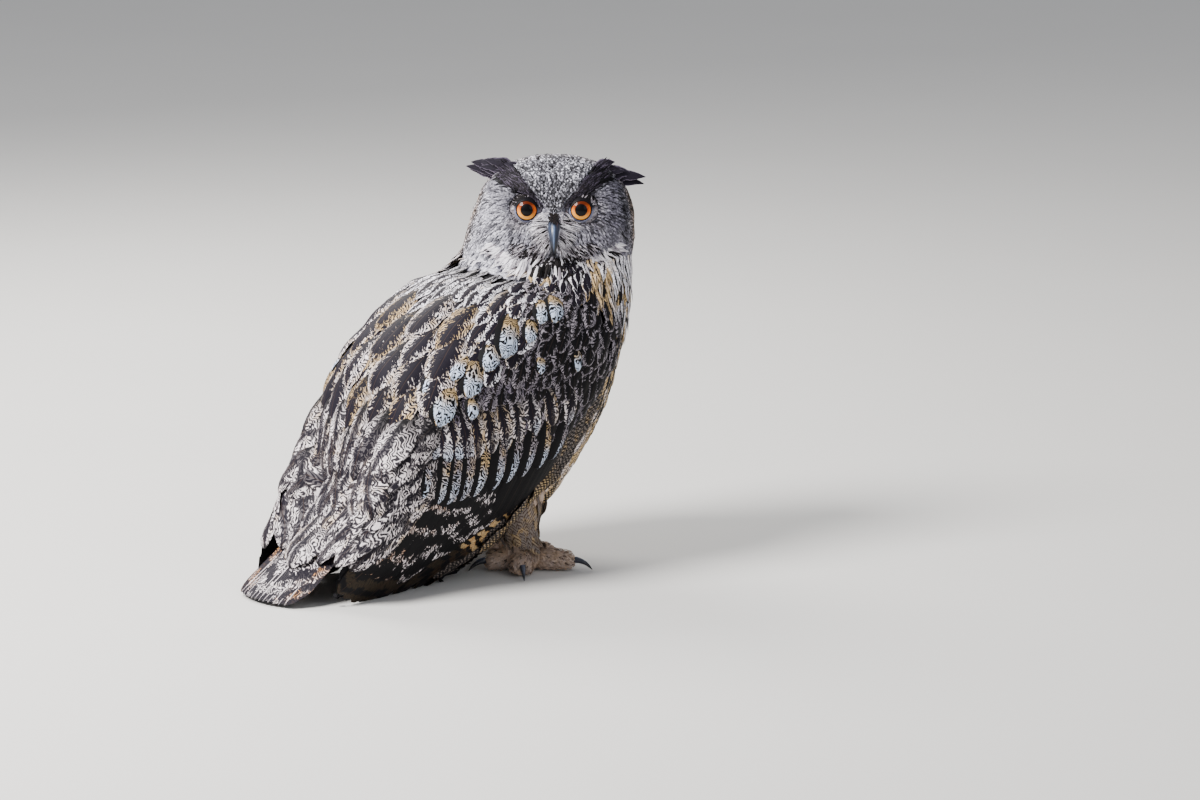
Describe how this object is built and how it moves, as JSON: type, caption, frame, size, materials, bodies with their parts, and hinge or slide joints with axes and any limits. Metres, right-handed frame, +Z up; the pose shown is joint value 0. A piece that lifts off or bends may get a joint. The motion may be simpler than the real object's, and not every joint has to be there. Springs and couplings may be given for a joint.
{
  "type": "eurasian eagle-owl",
  "caption": "Life-size still model of a standing eagle-owl, wings folded, head turned back over its right shoulder, tail tip on the floor.",
  "frame": {"origin": "middle of the bounding box's underside, on the floor between the feet and the tail tip", "axes": "+Z up, -Y the way the breast points, -X the bird's right side"},
  "size_m": [0.238, 0.4826, 0.4252],
  "materials": {
    "plumage": "overlapping feathers, buff and white with blackish streaks and fine bars",
    "flight": "long firm feathers, buff and grey-brown with dark bands",
    "face": "short grey-white feathers, finely mottled",
    "down": "short buff down",
    "tuft": "blackish feathers with pale edges",
    "horn": "polished blue-black horn",
    "eye": "wet, clear over an orange iris"
  },
  "bodies": {
    "root": {"bill_lower": "horn", "bill_upper": "horn", "claw_left_hind": "horn", "claw_left_inner": "horn", "claw_left_middle": "horn", "claw_left_outer": "horn", "claw_right_hind": "horn", "claw_right_inner": "horn", "claw_right_middle": "horn", "claw_right_outer": "horn", "ear_tuft_left": "tuft", "ear_tuft_right": "tuft", "eye_left": "eye", "eye_right": "eye", "foot_left": "down", "foot_right": "down", "head": "face", "leg_left": "down", "leg_right": "down", "neck": "plumage", "tail": "flight", "trunk": "plumage", "wing_left": "flight", "wing_right": "flight"}
  },
  "joints": []
}
